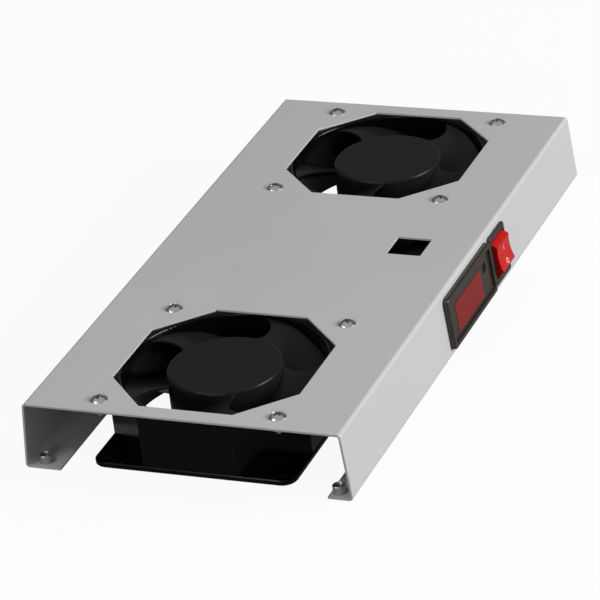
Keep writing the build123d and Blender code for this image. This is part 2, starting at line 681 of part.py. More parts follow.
def switch_tabs():
    """Two middle tabs that carry the levers, and two end tabs that they close on."""
    droop = LEVER_LENGTH / 2 * sin(radians(ROCKER_TILT))
    middle = LEVER_PIVOT - RUNNING_GAP * 5
    end = LEVER_PIVOT - droop - END_TAB_GAP
    tabs = []
    for u in (-POLE_OFFSET, POLE_OFFSET):
        tabs.append(switch_tab(u, 0, middle))
        tabs.append(switch_tab(u, -END_TAB_OFFSET, end))
    return group(tabs)


def switch_lamp():
    """Neon lamp inside the rocker, on two stiff leads from the housing floor."""
    glass = Rot(0, 90, 0) * Cylinder(LAMP_RADIUS, LAMP_LENGTH)
    lead = rod(LAMP_LEAD, SWITCH_FLOOR - SWITCH_BODY_DEPTH, 0)
    spots = [Pos(side * (LAMP_LENGTH / 2 - LAMP_RADIUS), 0, 0) for side in (-1, 1)]
    return glass + [spot * lead for spot in spots]


def tilted(shape, plane, depth, angle):
    """Shape placed on the plane and turned about the cross axis at the given depth."""
    return plane * Pos(0, 0, depth) * Rot(angle, 0, 0) * Pos(0, 0, -depth) * shape


def strip_places():
    return [(pole - (STRIP_POLES - 1) / 2) * STRIP_PITCH for pole in range(STRIP_POLES)]


def web_places():
    places = strip_places()
    return [(a + b) / 2 for a, b in zip(places, places[1:])]


def terminal_strip():
    """Strip of three towers on a thin web, with a clamp bore and two screw wells in each."""
    length = (STRIP_POLES - 1) * STRIP_PITCH + STRIP_TOWER
    strip = block(length, STRIP_HEIGHT, 0, STRIP_WEB)
    for u in strip_places():
        strip += block(STRIP_TOWER, STRIP_HEIGHT, 0, STRIP_DEPTH, u=u)
    strip -= [clamp_bar(u, STRIP_CLAMP_RADIUS) for u in strip_places()]
    strip -= [strip_screw_well(u, v, STRIP_DEPTH) for u, v in strip_screw_places()]
    strip -= [rod(STRIP_STUD_RADIUS, 0, STRIP_WEB, u=u) for u in web_places()]
    return strip


def clamp_bar(u, radius):
    return Pos(u, 0, STRIP_CLAMP_DEPTH) * Rot(90, 0, 0) * Cylinder(radius, STRIP_HEIGHT)


def strip_clamps():
    return group(clamp_bar(u, STRIP_CLAMP_RADIUS) - clamp_bar(u, STRIP_CLAMP_BORE) for u in strip_places())


def strip_screw_places():
    return [(u, side * STRIP_HEIGHT / 4) for u in strip_places() for side in (-1, 1)]


def strip_screw_well(u, v, top):
    foot = STRIP_CLAMP_DEPTH + STRIP_CLAMP_RADIUS
    return rod(CLAMP_SCREW_RADIUS, foot, top, u=u, v=v)


def strip_screws():
    top = STRIP_DEPTH - CLAMP_SCREW_RADIUS
    slot = block(2 * CLAMP_SCREW_RADIUS, CLAMP_SCREW_RADIUS / 3, top - CLAMP_SCREW_RADIUS / 2, top)
    return group(strip_screw_well(u, v, top) - Pos(u, v, 0) * slot for u, v in strip_screw_places())


def strip_studs():
    return group(rod(STRIP_STUD_RADIUS, 0, STRIP_STUD_LENGTH, u=u) for u in web_places())


def strip_nuts():
    nut = hex_nut(STRIP_NUT_FLATS, STRIP_NUT_HEIGHT, STRIP_STUD_RADIUS)
    return group(Pos(u, 0, STRIP_WEB) * nut for u in web_places())


def earth_stud():
    return rod(EARTH_STUD_RADIUS, 0, EARTH_STUD_LENGTH)


def earth_washer():
    return ring(EARTH_WASHER_RADIUS, EARTH_STUD_RADIUS, 0, EARTH_WASHER_THICKNESS)


def earth_nut():
    nut = hex_nut(NUT_FLATS, NUT_HEIGHT, EARTH_STUD_RADIUS)
    return Pos(0, 0, EARTH_WASHER_THICKNESS) * nut


def fan_nodes(name):
    """Every piece of one fan, at its place in the tray."""
    seat = Pos(0, FAN_CENTRES[name], FAN_FLOOR) * Rot(0, 0, FAN_TURN[name])
    spin = Pos(0, FAN_CENTRES[name], FAN_FLOOR) * Rot(0, 0, BLADE_TURN[name])
    screws = at_fan_holes(fan_screw(), FAN_DEPTH + SHEET)
    nut = hex_nut(NUT_FLATS, NUT_HEIGHT, SCREW_RADIUS)
    nuts = at_fan_holes(nut, FAN_DEPTH - FAN_FLANGE - NUT_HEIGHT)
    return {
        f"{name}_fan_frame": seat * fan_frame(),
        f"{name}_fan_terminals": seat * fan_terminals(),
        f"{name}_stator_core": seat * stator_core(),
        f"{name}_stator_coils": seat * stator_coils(),
        f"{name}_lower_bearing": seat * bearing(LOWER_BEARING),
        f"{name}_upper_bearing": seat * bearing(UPPER_BEARING),
        f"{name}_bearing_cap": seat * rod(CAP_RADIUS, 0, CAP_THICKNESS),
        f"{name}_fan_screws": group(seat * screw for screw in screws),
        f"{name}_fan_nuts": group(seat * each for each in nuts),
        f"{name}_impeller": spin * impeller(),
        f"{name}_rotor_ring": spin * rotor_ring(),
        f"{name}_shaft": spin * shaft(),
        f"{name}_shaft_clip": spin * shaft_clip(),
    }


def thermostat_nodes():
    place = panel(THERMOSTAT_Y)
    return {
        "thermostat_bezel": place * thermostat_bezel(),
        "thermostat_window": place * thermostat_window(),
        "thermostat_key": place * thermostat_key(),
        "thermostat_case": place * thermostat_case(),
        "thermostat_display": place * display_module(),
        "thermostat_display_board": place * display_board(),
        "thermostat_key_contact": place * key_contact(),
        "thermostat_main_board": place * main_board(),
        "thermostat_relay": place * relay(),
        "thermostat_transformer": place * transformer(),
        "thermostat_terminals": place * rear_terminals(),
        "thermostat_terminal_screws": place * group(clamp_screw(u) for u in way_places()),
        "thermostat_clips": place * case_clips(),
    }


def switch_nodes():
    place = panel(SWITCH_Y)
    depth = -ROCKER_PIVOT_DEPTH
    return {
        "switch_body": place * switch_body(),
        "switch_rocker": tilted(rocker(), place, depth, -ROCKER_TILT),
        "switch_plungers": tilted(plungers(), place, depth, -ROCKER_TILT),
        "switch_contact_levers": tilted(contact_levers(), place, LEVER_PIVOT, ROCKER_TILT),
        "switch_tabs": place * switch_tabs(),
        "switch_lamp": place * switch_lamp(),
    }


def supply_nodes():
    strip = left_panel(0)
    earth = left_panel(EARTH_Y)
    return {
        "supply_terminal_strip": strip * terminal_strip(),
        "supply_clamps": strip * strip_clamps(),
        "supply_clamp_screws": strip * strip_screws(),
        "supply_strip_studs": strip * strip_studs(),
        "supply_strip_nuts": strip * strip_nuts(),
        "earth_stud": earth * earth_stud(),
        "earth_washer": earth * earth_washer(),
        "earth_nut": earth * earth_nut(),
    }


def all_nodes():
    nodes = {"tray": tray(), "threaded_bushes": threaded_bushes()}
    for name in FAN_CENTRES:
        nodes.update(fan_nodes(name))
    nodes.update(thermostat_nodes())
    nodes.update(switch_nodes())
    nodes.update(supply_nodes())
    return nodes


os.makedirs("parts", exist_ok=True)
for node, shape in all_nodes().items():
    export_step(shape, f"parts/{node}.step")
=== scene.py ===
import json
from math import asin, cos, pi, radians, sin, tan

import bmesh
import bpy
from mathutils import Matrix, Vector
from mathutils.bvhtree import BVHTree


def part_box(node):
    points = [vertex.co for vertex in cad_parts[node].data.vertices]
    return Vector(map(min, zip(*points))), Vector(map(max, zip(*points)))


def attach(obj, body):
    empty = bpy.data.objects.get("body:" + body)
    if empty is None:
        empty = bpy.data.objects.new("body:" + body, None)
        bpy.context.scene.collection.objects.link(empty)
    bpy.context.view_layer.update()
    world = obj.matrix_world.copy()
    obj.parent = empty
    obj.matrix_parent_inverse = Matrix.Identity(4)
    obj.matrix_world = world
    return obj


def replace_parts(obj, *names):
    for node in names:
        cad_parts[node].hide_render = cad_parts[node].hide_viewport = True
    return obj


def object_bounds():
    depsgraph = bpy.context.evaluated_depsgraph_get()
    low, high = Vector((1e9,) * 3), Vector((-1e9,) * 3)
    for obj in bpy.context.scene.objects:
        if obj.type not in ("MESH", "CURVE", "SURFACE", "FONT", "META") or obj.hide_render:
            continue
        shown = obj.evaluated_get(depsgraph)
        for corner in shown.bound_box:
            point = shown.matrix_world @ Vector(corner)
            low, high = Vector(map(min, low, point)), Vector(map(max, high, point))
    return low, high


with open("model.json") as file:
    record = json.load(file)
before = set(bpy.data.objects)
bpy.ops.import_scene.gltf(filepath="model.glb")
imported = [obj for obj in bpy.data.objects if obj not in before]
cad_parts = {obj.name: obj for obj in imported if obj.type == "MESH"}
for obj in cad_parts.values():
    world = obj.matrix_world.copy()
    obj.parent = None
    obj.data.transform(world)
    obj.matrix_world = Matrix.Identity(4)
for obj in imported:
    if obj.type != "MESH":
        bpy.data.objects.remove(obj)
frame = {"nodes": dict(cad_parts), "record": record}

MM = 0.001
MERGE = MM / 1000
MERGE_FINE = MM / 1e4
SHARP = radians(35)
CAD_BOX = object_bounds()
TRAY = "tray_assembly"

# Tray, in millimetres
PLATE_TOP = 40.0
SHEET = 1.2

# Threads: foot and crest as half widths in pitches, and how far the foot is sunk
THREAD_FOOT = 0.46
THREAD_CREST = 0.08
THREAD_BITE = 0.05
THREAD_STEPS = 20

# Fan screws and nuts
SCREW_SHANK = 2.0
SCREW_ROOT = 1.62
SCREW_PITCH = 0.7
SCREW_LENGTH = 10.0
HEAD_RADIUS = 5.2
HEAD_HEIGHT = 2.1
HEAD_RIM = 0.5
HEAD_STEPS = 56  # keeps the recess's planes clear of the head's own edges
CROWN_STEPS = 10
RIM_STEPS = 5
RECESS_WIDTH = 1.35
RECESS_SPAN = 5.4
RECESS_DEPTH = 1.7
RECESS_TAPER = 0.72
NUT_FLATS = 7.0
NUT_HEIGHT = 3.2
NUT_PLAY = 0.03
NUT_LEAD = 0.3
NUT_CORNER_SHARE = 0.99
NUT_FACE_SHARE = 0.96

# Threaded bushes of the lips
BUSH_RADIUS = 3.5
BUSH_SPIGOT = 2.8
BUSH_HEIGHT = 5.0
BUSH_CREST = 2.1
BUSH_ROOT = 2.5
BUSH_PITCH = 0.8
BUSH_LEAD = 0.35
BUSH_TURN = 40

# Earth stud and its toothed washer
EARTH_STUD_LENGTH = 12.0
EARTH_Y = 45.0
WASHER_RADIUS = 4.5
WASHER_THICKNESS = 0.8
WASHER_PLAY = 0.15
WASHER_TEETH = 16
TOOTH_LENGTH = 1.1
TOOTH_WIDTH = 1.05
TOOTH_BITE = 0.1
TOOTH_BEVEL = 0.12
TOOTH_TWIST = radians(18)

# Studs and nuts of the supply strip
STRIP_STUD = 1.5
STRIP_STUD_ROOT = 1.2
STRIP_STUD_PITCH = 0.5
STRIP_STUD_LENGTH = 9.0
STRIP_WEB = 5.0
STRIP_NUT_FLATS = 5.5
STRIP_NUT_HEIGHT = 2.4

# Both flanges lean outwards; their mid-planes at half height
LEAN = radians(5.0)
PANEL_X = 94.097
PANEL_Z = 20.0
SWITCH_Y = 53.0

# Moulded fan frames
FAN_HALF = 59.5
FAN_CORNER = 8.0
FLANGE_BEVEL = 0.55
OUTLINE_BAND = 0.1

# Marks on the rocker's face
MARK_HEIGHT = 3.2
MARK_STROKE = 0.5
MARK_OFFSET = 4.3
INK_HEIGHT = 0.05
PRINT_REACH = 20.0

# Turn of each screw's recess, as the screws came to rest
RECESS_TURNS = (12, 58, -25, 37, 71, -8, 44, 23)

# Camera, where it stood for the photograph
CAMERA_AZIMUTH = radians(24.69)
CAMERA_ELEVATION = radians(27.44)
CAMERA_ROLL = radians(-7.09)
CAMERA_DISTANCE = 2.141
CAMERA_TARGET = Vector((0.0159, -0.0556, 0.040))
CAMERA_LENS = 228.6

# Studio
FLOOR_SIZE = 12.0
FLOOR_DROP = 0.15
FLOOR_WHITE = "#F2F2F2"
FLOOR_MIRRORED = "#707070"
FLOOR_GREY = "#5A5A5A"
FLOOR_WHITE_SHARE = 0.93
MIRRORED_SHARE = 0.16
HORIZON_WHITE = 1.0
HORIZON_BAND = {"From Min": 0.05, "From Max": 0.16}
BACK_LEVEL = 0.13
OVERHEAD_LEVEL = 0.5
OVERHEAD_BAND = {"From Min": 0.62, "From Max": 0.82}
SOFT_LEVEL = 0.27
LAMP_TARGET = Vector((0, 0, 0.02))


def linear(colour):
    """Linear colour of an sRGB hex value."""
    channels = [int(colour[i:i + 2], 16) / 255 for i in (1, 3, 5)]
    return [c / 12.92 if c <= 0.04045 else ((c + 0.055) / 1.055) ** 2.4 for c in channels] + [1.0]


def per(size):
    """Texture scale that gives features of this size in millimetres."""
    return 1 / (size * MM)


def connect(tree, node, inputs):
    """Gives each socket a value, or the output of another node."""
    for socket, value in inputs.items():
        if isinstance(value, bpy.types.NodeSocket):
            tree.links.new(value, node.inputs[socket])
        else:
            node.inputs[socket].default_value = value


def add(tree, kind, inputs=None, **settings):
    """Adds one node with its settings and its links."""
    node = tree.nodes.new(kind)
    for setting, value in settings.items():
        setattr(node, setting, value)
    connect(tree, node, inputs or {})
    return node


def start_material(name):
    """New material, its node tree, its surface shader and its object coordinates."""
    material = bpy.data.materials.new(name)
    material.use_nodes = True
    tree = material.node_tree
    place = add(tree, "ShaderNodeTexCoord").outputs["Object"]
    return material, tree, tree.nodes["Principled BSDF"], place


def mottled(tree, place, size, dark, light):
    """Colour that drifts between two hex values in patches of a size in millimetres."""
    noise = add(tree, "ShaderNodeTexNoise", {"Vector": place, "Scale": per(size), "Detail": 3.0})
    mix = {0: noise.outputs["Fac"], 6: linear(dark), 7: linear(light)}
    return add(tree, "ShaderNodeMix", mix, data_type="RGBA").outputs[2]


def ranged(tree, factor, low, high):
    """A factor of 0 to 1 stretched to run from low to high."""
    spread = {"Value": factor, "To Min": low, "To Max": high}
    return add(tree, "ShaderNodeMapRange", spread).outputs["Result"]


def relief(tree, place, size, height, edge=0.0):
    """Surface normal of a fine grain, sizes in millimetres, over softened edges."""
    noise = add(tree, "ShaderNodeTexNoise", {"Vector": place, "Scale": per(size), "Detail": 2.0})
    bump = {"Height": noise.outputs["Fac"], "Distance": height * MM, "Strength": 1.0}
    if edge:
        soft = add(tree, "ShaderNodeBevel", {"Radius": edge * MM}, samples=6)
        bump["Normal"] = soft.outputs["Normal"]
    return add(tree, "ShaderNodeBump", bump).outputs["Normal"]


def powder_coat():
    """Polyester powder coat on folded steel: even light grey, soft sheen, fine orange peel."""
    material, tree, shader, place = start_material("powder_coat_light_grey")
    patches = add(tree, "ShaderNodeTexNoise", {"Vector": place, "Scale": per(35), "Detail": 2.0})
    connect(tree, shader, {
        "Base Color": mottled(tree, place, 60, "#C6C6C6", "#CDCDCD"),
        "Roughness": ranged(tree, patches.outputs["Fac"], 0.28, 0.38),
        "Normal": relief(tree, place, 1.1, 0.012, edge=0.35),
        "IOR": 1.5,
    })
    return material


def plated_steel(name, dark, light, roughness, streak, painted_recess_shade="#4A4944"):
    """Plate on metal: bright, uneven, finely marked by tools; painted shade darkens its recesses.
    """
    material, tree, shader, place = start_material(name)
    noise = {"Vector": place, "Scale": per(streak), "Detail": 3.0}
    noise = add(tree, "ShaderNodeTexNoise", noise)
    # painted shade: ambient occlusion blends the colour towards a dark tone in recesses and between
    # parts
    recess = {"Distance": 1.0 * MM}
    recess = add(tree, "ShaderNodeAmbientOcclusion", recess, samples=8, only_local=True)
    mix = {0: recess.outputs["AO"], 6: linear(painted_recess_shade), 7: mottled(tree, place, 2.5, dark, light)}
    connect(tree, shader, {
        "Base Color": add(tree, "ShaderNodeMix", mix, data_type="RGBA").outputs[2],
        "Metallic": 1.0,
        "Roughness": ranged(tree, noise.outputs["Fac"], roughness - 0.06, roughness + 0.1),
        "Normal": relief(tree, place, streak, 0.01, edge=0.12),
    })
    return material


def banded(name, dark, light, pitch, roughness, metallic):
    """Stacked or wound metal: bands one sheet or one wire wide."""
    material, tree, shader, place = start_material(name)
    wave = {"Vector": place, "Scale": per(pitch) / 20, "Distortion": 0.4}
    wave = add(tree, "ShaderNodeTexWave", wave, bands_direction="Z")
    mix = {0: wave.outputs["Fac"], 6: linear(dark), 7: linear(light)}
    bump = {"Height": wave.outputs["Fac"], "Distance": pitch * MM / 5}
    connect(tree, shader, {
        "Base Color": add(tree, "ShaderNodeMix", mix, data_type="RGBA").outputs[2],
        "Metallic": metallic,
        "Roughness": roughness,
        "Normal": add(tree, "ShaderNodeBump", bump).outputs["Normal"],
    })
    return material


def moulded(name, dark, light, roughness, grain, depth, gloss=0.5, edge=0.2):
    """Injection-moulded plastic: nearly even colour over a fine spark-eroded grain."""
    material, tree, shader, place = start_material(name)
    noise = add(tree, "ShaderNodeTexNoise", {"Vector": place, "Scale": per(9), "Detail": 3.0})
    connect(tree, shader, {
        "Base Color": mottled(tree, place, 14, dark, light),
        "Roughness": ranged(tree, noise.outputs["Fac"], roughness - 0.05, roughness + 0.05),
        "Normal": relief(tree, place, grain, depth, edge=edge),
        "Specular IOR Level": gloss,
        "IOR": 1.5,
    })
    return material


def tinted_acrylic():
    """Cast acrylic, tinted red right through and polished: half clear, with a mirror-like face."""
    material, tree, shader, place = start_material("tinted_acrylic_red")
    connect(tree, shader, {
        "Base Color": mottled(tree, place, 30, "#98100A", "#A8160E"),
        "Roughness": 0.05,
        "Transmission Weight": 0.45,
        "Specular IOR Level": 0.3,
        "Normal": relief(tree, place, 12, 0.02),
        "IOR": 1.49,
    })
    return material


def translucent_red():
    """Polycarbonate rocker, translucent red and gloss: light scatters under its face."""
    material, tree, shader, place = start_material("moulded_polycarbonate_red")
    connect(tree, shader, {
        "Base Color": mottled(tree, place, 8, "#BE0E06", "#CC140A"),
        "Roughness": 0.26,
        "Specular IOR Level": 0.35,
        "Subsurface Weight": 0.25,
        "Subsurface Radius": (1.0, 0.2, 0.1),
        "Subsurface Scale": 1.2 * MM,
        "Normal": relief(tree, place, 0.8, 0.006, edge=0.35),
        "IOR": 1.58,
    })
    return material


def lamp_glass():
    """Soda-lime glass bulb of the neon lamp: clear, drawn, with faint waves."""
    material, tree, shader, place = start_material("drawn_glass")
    connect(tree, shader, {
        "Base Color": mottled(tree, place, 3, "#F4E4D8", "#FFF4EA"),
        "Roughness": 0.03,
        "Transmission Weight": 0.9,
        "Normal": relief(tree, place, 2, 0.02),
        "IOR": 1.52,
    })
    return material


def laminate():
    """Glass-fibre laminate with green solder resist: the weave shows faintly through."""
    material, tree, shader, place = start_material("glass_fibre_laminate_green")
    weave = add(tree, "ShaderNodeTexChecker", {
        "Vector": place,
        "Scale": per(0.8),
        "Color1": linear("#0C4A26"),
        "Color2": linear("#0F5A2E"),
    })
    bump = {"Height": weave.outputs["Fac"], "Distance": 0.02 * MM}
    connect(tree, shader, {
        "Base Color": weave.outputs["Color"],
        "Roughness": 0.35,
        "Normal": add(tree, "ShaderNodeBump", bump).outputs["Normal"],
        "IOR": 1.55,
    })
    return material


def finishes():
    """One material for each finish named in the record."""
    return {
        "tray_paint": powder_coat(),
        "zinc_plate": plated_steel("zinc_plated_steel", "#B4B5B2", "#C9C9C5", 0.34, 0.25),
        # near-black painted shade in the screws' cross recesses and under their heads
        "screw_zinc": plated_steel(
            "bright_zinc_plated_steel", "#BEBEBC", "#D0D0CE", 0.22, 0.3, "#101010"),
        "bearing_steel": plated_steel("ground_bearing_steel", "#A9ABAE", "#BABCBF", 0.22, 0.15),
        "stack_steel": banded("varnished_laminated_steel", "#3A3A3C", "#5A5A5C", 0.5, 0.45, 0.9),
        "copper": banded("enamelled_copper_wire", "#8A3A1C", "#C86A3C", 0.4, 0.3, 1.0),
        "tin_brass": plated_steel("tinned_brass", "#C0BEB4", "#D2D0C8", 0.28, 0.3),
        "frame_plastic": moulded(
            "moulded_polyester_black", "#060606", "#080808", 0.17, 0.5, 0.002, gloss=0.15),
        "impeller_plastic": moulded(
            "moulded_polyamide_black", "#181818", "#1D1D1D", 0.34, 0.6, 0.006,
            gloss=0.17, edge=0.4),
        "cap_plastic": moulded("moulded_acetal_black", "#151515", "#191919", 0.45, 0.5, 0.006),
        "bezel_plastic": moulded(
            "moulded_abs_charcoal", "#2B2621", "#312B25", 0.22, 0.5, 0.004, edge=0.5),
        "window_acrylic": tinted_acrylic(),
        "case_plastic": moulded("moulded_abs_black", "#151515", "#1A1A1A", 0.5, 0.7, 0.01),
        "display_plastic": moulded("cast_epoxy_display", "#2A1212", "#341616", 0.35, 1.0, 0.004),
        "board_laminate": laminate(),
        "relay_plastic": moulded("moulded_polyester_blue", "#1E4A86", "#22528F", 0.4, 0.6, 0.006),
        "terminal_plastic": moulded(
            "moulded_polyamide_green", "#1C6A38", "#20743E", 0.42, 0.6, 0.008),
        "key_plastic": moulded(
            "moulded_key_black", "#0A0A0A", "#0E0E0E", 0.4, 0.5, 0.004, gloss=0.2),
        "rocker_plastic": translucent_red(),
        "lamp_glass": lamp_glass(),
        "strip_plastic": moulded(
            "moulded_polyamide_natural", "#D8D4C6", "#E2DED0", 0.45, 0.7, 0.01),
    }


def pad_print():
    """Pad-printed marks: matt ivory ink that lies a little uneven on the gloss plastic."""
    return moulded("pad_printed_ivory_ink", "#E2D8C4", "#EAE2D0", 0.55, 0.25, 0.01)


def dress_nodes(materials):
    """Gives every node of the frame the finish that its record names."""
    for part in frame["record"]["subparts"]:
        node = frame["nodes"][part["node"]]
        if not node.material_slots:
            node.data.materials.append(None)
        for slot in node.material_slots:
            slot.material = materials[part["material_slot"]]


def make_camera():
    """The camera, solved from the plate's corners and the fan screws in the photograph."""
    data = bpy.data.cameras.new("camera")
    data.sensor_width = 36.0
    data.lens = CAMERA_LENS
    back = Vector((
        sin(CAMERA_AZIMUTH) * cos(CAMERA_ELEVATION),
        -cos(CAMERA_AZIMUTH) * cos(CAMERA_ELEVATION),
        sin(CAMERA_ELEVATION),
    ))
    level = (-back).cross(Vector((0, 0, 1))).normalized()
    upright = back.cross(level)
    right = level * cos(CAMERA_ROLL) + upright * sin(CAMERA_ROLL)
    matrix = Matrix((right, back.cross(right), back)).transposed().to_4x4()
    matrix.translation = CAMERA_TARGET + back * CAMERA_DISTANCE
    camera = bpy.data.objects.new("camera", data)
    camera.matrix_world = matrix
    bpy.context.scene.collection.objects.link(camera)
    bpy.context.scene.camera = camera


def make_floor():
    """Pale floor that shows near white, keeps the object's shadow and is clear from below."""
    mesh = bmesh.new()
    bmesh.ops.create_grid(mesh, x_segments=1, y_segments=1, size=FLOOR_SIZE / 2)
    bmesh.ops.translate(mesh, verts=mesh.verts, vec=(0, 0, CAD_BOX[0].z - FLOOR_DROP * MM))
    data = bpy.data.meshes.new("studio_floor")
    mesh.to_mesh(data)
    mesh.free()
    floor = bpy.data.objects.new("studio_floor", data)
    bpy.context.scene.collection.objects.link(floor)
    material = bpy.data.materials.new("studio_paper")
    material.use_nodes = True
    tree = material.node_tree
    tree.nodes.clear()
    ray = add(tree, "ShaderNodeLightPath").outputs
    either = {0: ray["Is Glossy Ray"], 1: ray["Is Transmission Ray"]}
    mirrored = add(tree, "ShaderNodeMath", either, operation="MAXIMUM")
    part = {0: mirrored.outputs[0], 1: MIRRORED_SHARE}
    part = add(tree, "ShaderNodeMath", part, operation="MULTIPLY")
    whole = {0: ray["Is Camera Ray"], 1: FLOOR_WHITE_SHARE, 2: part.outputs[0]}
    share = add(tree, "ShaderNodeMath", whole, operation="MULTIPLY_ADD")
    shade = {0: mirrored.outputs[0], 6: linear(FLOOR_GREY), 7: linear(FLOOR_MIRRORED)}
    shade = add(tree, "ShaderNodeMix", shade, data_type="RGBA").outputs[2]
    shade = {0: ray["Is Camera Ray"], 6: shade, 7: linear(FLOOR_WHITE)}
    shade = add(tree, "ShaderNodeMix", shade, data_type="RGBA").outputs[2]
    paper = add(tree, "ShaderNodeBsdfDiffuse", {"Color": shade})
    white = add(tree, "ShaderNodeEmission", {"Strength": 1.0})
    mix = {0: share.outputs[0], 1: paper.outputs[0], 2: white.outputs[0]}
    shown = add(tree, "ShaderNodeMixShader", mix)
    below = add(tree, "ShaderNodeNewGeometry").outputs["Backfacing"]
    clear = add(tree, "ShaderNodeBsdfTransparent")
    mix = {0: below, 1: shown.outputs[0], 2: clear.outputs[0]}
    shown = add(tree, "ShaderNodeMixShader", mix)
    add(tree, "ShaderNodeOutputMaterial", {"Surface": shown.outputs[0]})
    data.materials.append(material)


def make_world():
    """White backdrop; mirrored, it is white at the horizon, dim above it and bright overhead."""
    world = bpy.data.worlds.new("studio")
    world.use_nodes = True
    tree = world.node_tree
    background = tree.nodes["Background"]
    direction = add(tree, "ShaderNodeTexCoord").outputs["Generated"]
    height = add(tree, "ShaderNodeSeparateXYZ", {0: direction}).outputs["Z"]
    low = {"Value": height, **HORIZON_BAND, "To Min": HORIZON_WHITE, "To Max": BACK_LEVEL}
    low = add(tree, "ShaderNodeMapRange", low, interpolation_type="SMOOTHSTEP").outputs["Result"]
    high = {"Value": height, **OVERHEAD_BAND, "To Min": 0.0, "To Max": OVERHEAD_LEVEL}
    high = add(tree, "ShaderNodeMapRange", high, interpolation_type="SMOOTHSTEP").outputs["Result"]
    level = add(tree, "ShaderNodeMath", {0: low, 1: high}, operation="MAXIMUM").outputs[0]
    ray = add(tree, "ShaderNodeLightPath").outputs
    either = {0: ray["Is Glossy Ray"], 1: ray["Is Transmission Ray"]}
    mirrored = add(tree, "ShaderNodeMath", either, operation="MAXIMUM").outputs[0]
    level = add(tree, "ShaderNodeMix", {0: mirrored, 2: SOFT_LEVEL, 3: level}).outputs[0]
    level = add(tree, "ShaderNodeMix", {0: ray["Is Camera Ray"], 2: level, 3: 1.0}).outputs[0]
    connect(tree, background, {"Strength": level, "Color": (1, 1, 1, 1)})
    bpy.context.scene.world = world


def make_lamp(name, place, width, height, power):
    """Rectangular soft lamp, sizes in metres and power in watts, turned to the object."""
    data = bpy.data.lights.new(name, "AREA")
    data.shape = "RECTANGLE"
    data.size = width
    data.size_y = height
    data.energy = power
    lamp = bpy.data.objects.new(name, data)
    lamp.location = place
    aim = LAMP_TARGET - Vector(place)
    lamp.rotation_euler = aim.to_track_quat("-Z", "Y").to_euler()
    bpy.context.scene.collection.objects.link(lamp)


def make_lamps():
    """One lamp on the switch's side, a weak one in front, a narrow one for the moulded edges."""
    make_lamp("side_softbox", (2.4, 0.35, 0.95), 1.0, 0.7, 62)
    make_lamp("front_softbox", (0.1, -2.4, 0.6), 1.0, 0.5, 9)
    make_lamp("edge_strip", (-0.85, -1.1, 1.9), 0.7, 0.14, 8)


def place_mesh(name, mesh, material, body):
    """Finished mesh as a piece of the object that rides a body."""
    data = bpy.data.meshes.new(name)
    bmesh.ops.recalc_face_normals(mesh, faces=mesh.faces)
    mesh.to_mesh(data)
    mesh.free()
    if "custom_normal" in data.attributes:  # a CAD mesh's normals no longer fit its bevelled copy
        data.attributes.remove(data.attributes["custom_normal"])
    data.polygons.foreach_set("use_smooth", [True] * len(data.polygons))
    data.set_sharp_from_angle(angle=SHARP)
    data.materials.append(material)
    piece = bpy.data.objects.new(name, data)
    bpy.context.scene.collection.objects.link(piece)
    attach(piece, body)
    return piece


def arc(middle, radius, start, end, steps):
    """Points on an arc as (distance from the axis, height); angles in degrees from level."""
    turns = [radians(start + (end - start) * i / steps) for i in range(steps + 1)]
    return [(middle[0] + radius * cos(turn), middle[1] + radius * sin(turn)) for turn in turns]


def lathe(profile, steps=48, ring=False):
    """Body of revolution through (radius, height) points; a ring's profile closes on itself."""
    mesh = bmesh.new()
    points = [mesh.verts.new((radius * MM, 0, height * MM)) for radius, height in profile]
    ends = points[1:] + points[:1] if ring else points[1:]
    edges = [mesh.edges.new(pair) for pair in zip(points, ends)]
    bmesh.ops.spin(
        mesh, geom=points + edges, axis=(0, 0, 1), angle=2 * pi, steps=steps, use_merge=True)
    bmesh.ops.remove_doubles(mesh, verts=mesh.verts, dist=MERGE)
    return mesh


def thread(crest, root, pitch, low, high):
    """Helical ridge between two heights, its foot sunk into the core; closed at both ends."""
    mesh = bmesh.new()
    foot = root - THREAD_BITE if crest > root else root + THREAD_BITE
    wide, narrow = pitch * THREAD_FOOT, pitch * THREAD_CREST
    start = low + wide
    wedge = [(foot, -wide), (crest, -narrow), (crest, narrow), (foot, wide)]
    points = [mesh.verts.new((radius * MM, 0, (start + height) * MM)) for radius, height in wedge]
    edges = [mesh.edges.new(pair) for pair in zip(points, points[1:] + points[:1])]
    turns = (high - low - 2 * wide) / pitch
    count = round(turns * THREAD_STEPS)
    rise = (0, 0, pitch * turns * MM / count)
    bmesh.ops.spin(
        mesh, geom=points + edges, axis=(0, 0, 1), dvec=rise, angle=2 * pi * turns, steps=count)
    bmesh.ops.edgeloop_fill(mesh, edges=[edge for edge in mesh.edges if edge.is_boundary])
    return mesh


def joined(parts):
    """One mesh of several (mesh, places) pairs, each mesh set down at all its places."""
    whole = bmesh.new()
    for part, places in parts:
        data = bpy.data.meshes.new("part")
        bmesh.ops.recalc_face_normals(part, faces=part.faces)
        part.to_mesh(data)
        part.free()
        for place in places:
            first = len(whole.verts)
            whole.from_mesh(data)
            whole.verts.ensure_lookup_table()
            bmesh.ops.transform(whole, matrix=place, verts=whole.verts[first:])
        bpy.data.meshes.remove(data)
    return whole


def at(x, y, z, turn=0.0):
    """Upright place, in millimetres, turned about its axis by degrees."""
    return Matrix.Translation((x * MM, y * MM, z * MM)) @ Matrix.Rotation(radians(turn), 4, "Z")


def cut_across(mesh, normal, distance, clear=False):
    """Cuts the mesh by a plane at a distance from the axis; returns the edges of the cut."""
    every = mesh.verts[:] + mesh.edges[:] + mesh.faces[:]
    normal = Vector(normal)
    cut = bmesh.ops.bisect_plane(
        mesh, geom=every, dist=MERGE_FINE, plane_co=normal * distance * MM, plane_no=normal,
        clear_outer=clear)
    return [item for item in cut["geom_cut"] if isinstance(item, bmesh.types.BMEdge)]


